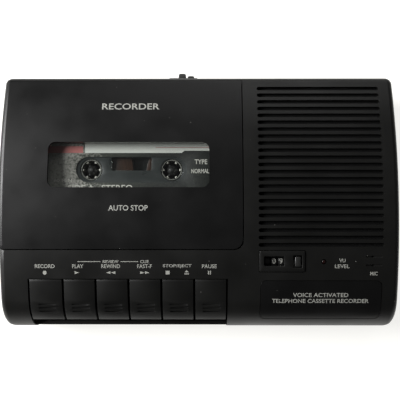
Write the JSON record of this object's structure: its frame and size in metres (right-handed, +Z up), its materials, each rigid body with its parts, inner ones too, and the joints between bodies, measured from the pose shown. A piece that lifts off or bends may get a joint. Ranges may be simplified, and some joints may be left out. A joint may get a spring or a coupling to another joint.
{
  "type": "desk-top cassette recorder",
  "caption": "Flat desk-top cassette recorder with a windowed cassette door, a row of piano keys, a slotted speaker grille, a tape counter and a full tape drive inside.",
  "frame": {"origin": "under the middle of the recorder, on the surface its feet stand on", "axes": "+X to the right, +Y to the rear, +Z up; the keys face -Y"},
  "size_m": [0.2063, 0.1374, 0.046],
  "materials": {
    "black_case": "fine-textured moulded ABS",
    "key_black": "smooth moulded ABS",
    "inner_black": "moulded",
    "window_clear": "clear moulded acrylic",
    "steel": "zinc-plated sheet",
    "brass": "turned",
    "rubber": "moulded",
    "cassette_smoke": "moulded polystyrene",
    "cassette_label": "printed film",
    "hub_ivory": "moulded acetal",
    "tape_brown": "wound magnetic tape",
    "speaker_black": "pressed basket and paper cone",
    "led_red": "tinted epoxy",
    "board_green": "laminate"
  },
  "bodies": {
    "case": {"top_housing": "black_case", "bottom_housing": "black_case", "counter_bezel": "black_case", "nameplate": "black_case", "cassette_well": "inner_black", "counter_frame": "inner_black", "telephone_line_jack": "inner_black", "telephone_set_jack": "inner_black", "dc_jack": "inner_black", "earphone_jack": "inner_black", "microphone_jack": "inner_black", "door_hinge_pin": "steel", "deck_chassis": "steel", "motor": "steel", "key_shaft": "steel", "counter_shaft": "steel", "microphone": "steel", "slide_switch_body": "steel", "battery_contact_left": "steel", "battery_contact_right": "steel", "foot_1": "rubber", "foot_2": "rubber", "foot_3": "rubber", "foot_4": "rubber", "drive_belt": "rubber", "speaker": "speaker_black", "level_led": "led_red", "circuit_board": "board_green"},
    "door": {"cassette_door": "black_case", "door_window": "window_clear", "door_guide_left": "steel", "door_guide_right": "steel", "cassette_shell": "cassette_smoke", "cassette_label": "cassette_label"},
    "supply_reel": {"supply_hub": "hub_ivory", "supply_tape_pack": "tape_brown"},
    "takeup_reel": {"takeup_hub": "hub_ivory", "takeup_tape_pack": "tape_brown"},
    "supply_drive": {"supply_spindle": "inner_black"},
    "takeup_drive": {"takeup_spindle": "inner_black"},
    "capstan": {"capstan_flywheel": "steel"},
    "motor_shaft": {"motor_pulley": "brass"},
    "head_carriage": {"head_slide": "steel", "record_play_head": "steel", "erase_head": "inner_black", "pinch_arm": "steel"},
    "pinch": {"pinch_roller": "rubber"},
    "hundreds": {"counter_wheel_hundreds": "inner_black"},
    "tens": {"counter_wheel_tens": "inner_black"},
    "units": {"counter_wheel_units": "inner_black"},
    "reset": {"counter_reset_button": "black_case"},
    "volume": {"volume_wheel": "black_case"},
    "selector": {"slide_switch_cap": "inner_black"},
    "battery_lid": {"battery_door": "black_case"},
    "record": {"record_key": "key_black"},
    "play": {"play_key": "key_black"},
    "rewind": {"rewind_key": "key_black"},
    "fast_forward": {"fast_forward_key": "key_black"},
    "stop_eject": {"stop_eject_key": "key_black"},
    "pause": {"pause_key": "key_black"}
  },
  "joints": [
    {"name": "door_hinge", "type": "hinge", "parent": "case", "child": "door", "pos_m": [-0.0395, 0.0595, 0.03381], "axis": [-1, 0, 0], "range_deg": [0, 45]},
    {"name": "record_press", "type": "hinge", "parent": "case", "child": "record", "pos_m": [0, -0.034, 0.027], "axis": [1, 0, 0], "range_deg": [0, 6.5], "stiffness_Nm_per_rad": 0.25, "springref_deg": -4.58},
    {"name": "play_press", "type": "hinge", "parent": "case", "child": "play", "pos_m": [0, -0.034, 0.027], "axis": [1, 0, 0], "range_deg": [0, 6.5], "stiffness_Nm_per_rad": 0.25, "springref_deg": -4.58},
    {"name": "rewind_press", "type": "hinge", "parent": "case", "child": "rewind", "pos_m": [0, -0.034, 0.027], "axis": [1, 0, 0], "range_deg": [0, 6.5], "stiffness_Nm_per_rad": 0.25, "springref_deg": -4.58},
    {"name": "fast_forward_press", "type": "hinge", "parent": "case", "child": "fast_forward", "pos_m": [0, -0.034, 0.027], "axis": [1, 0, 0], "range_deg": [0, 6.5], "stiffness_Nm_per_rad": 0.25, "springref_deg": -4.58},
    {"name": "stop_eject_press", "type": "hinge", "parent": "case", "child": "stop_eject", "pos_m": [0, -0.034, 0.027], "axis": [1, 0, 0], "range_deg": [0, 6.5], "stiffness_Nm_per_rad": 0.25, "springref_deg": -4.58},
    {"name": "pause_press", "type": "hinge", "parent": "case", "child": "pause", "pos_m": [0, -0.034, 0.027], "axis": [1, 0, 0], "range_deg": [0, 6.5], "stiffness_Nm_per_rad": 0.25, "springref_deg": -4.58},
    {"name": "flywheel_spin", "type": "hinge", "parent": "case", "child": "capstan", "pos_m": [-0.00515, -0.01445, 0.01], "axis": [0, 0, 1], "continuous": true},
    {"name": "motor_spin", "type": "hinge", "parent": "case", "child": "motor_shaft", "pos_m": [0.038, 0.0465, 0.01], "axis": [0, 0, 1], "continuous": true},
    {"name": "supply_spindle_spin", "type": "hinge", "parent": "case", "child": "supply_drive", "pos_m": [-0.0569, 0.01415, 0.022], "axis": [0, 0, 1], "continuous": true},
    {"name": "takeup_spindle_spin", "type": "hinge", "parent": "case", "child": "takeup_drive", "pos_m": [-0.0144, 0.01415, 0.022], "axis": [0, 0, 1], "continuous": true},
    {"name": "supply_reel_spin", "type": "hinge", "parent": "door", "child": "supply_reel", "pos_m": [-0.0569, 0.01415, 0.032], "axis": [0, 0, 1], "continuous": true},
    {"name": "takeup_reel_spin", "type": "hinge", "parent": "door", "child": "takeup_reel", "pos_m": [-0.0144, 0.01415, 0.032], "axis": [0, 0, 1], "continuous": true},
    {"name": "head_travel", "type": "slide", "parent": "case", "child": "head_carriage", "axis": [0, 1, 0], "range_m": [0, 0.0035]},
    {"name": "pinch_roller_spin", "type": "hinge", "parent": "head_carriage", "child": "pinch", "pos_m": [-0.00515, -0.02395, 0.031], "axis": [0, 0, 1], "continuous": true},
    {"name": "counter_units_turn", "type": "hinge", "parent": "case", "child": "units", "pos_m": [0.0425, -0.0335, 0.0346], "axis": [1, 0, 0], "continuous": true},
    {"name": "counter_tens_turn", "type": "hinge", "parent": "case", "child": "tens", "pos_m": [0.039, -0.0335, 0.0346], "axis": [1, 0, 0], "continuous": true},
    {"name": "counter_hundreds_turn", "type": "hinge", "parent": "case", "child": "hundreds", "pos_m": [0.0355, -0.0335, 0.0346], "axis": [1, 0, 0], "continuous": true},
    {"name": "reset_press", "type": "slide", "parent": "case", "child": "reset", "axis": [0, 0, -1], "range_m": [0, 0.0015], "stiffness_N_per_m": 150, "springref_m": -0.001},
    {"name": "volume_turn", "type": "hinge", "parent": "case", "child": "volume", "pos_m": [0.092, -0.01, 0.02775], "axis": [0, 0, 1], "range_deg": [-135, 135]},
    {"name": "selector_slide", "type": "slide", "parent": "case", "child": "selector", "axis": [-1, 0, 0], "range_m": [0, 0.0025]},
    {"name": "battery_door_slide", "type": "slide", "parent": "case", "child": "battery_lid", "axis": [1, 0, 0], "range_m": [0, 0.014]}
  ],
  "couplings": [
    {"joint": "play_press", "follows": "head_travel", "rad_per_m": 32.4},
    {"joint": "motor_spin", "follows": "flywheel_spin", "ratio": 4.4},
    {"joint": "takeup_spindle_spin", "follows": "flywheel_spin", "ratio": 0.0815},
    {"joint": "takeup_reel_spin", "follows": "flywheel_spin", "ratio": 0.0815},
    {"joint": "supply_spindle_spin", "follows": "flywheel_spin", "ratio": 0.05},
    {"joint": "supply_reel_spin", "follows": "flywheel_spin", "ratio": 0.05},
    {"joint": "pinch_roller_spin", "follows": "flywheel_spin", "ratio": -0.2444},
    {"joint": "counter_units_turn", "follows": "flywheel_spin", "ratio": 0.0045},
    {"joint": "counter_tens_turn", "follows": "flywheel_spin", "ratio": 0.00045},
    {"joint": "counter_hundreds_turn", "follows": "flywheel_spin", "ratio": 0.000045}
  ]
}
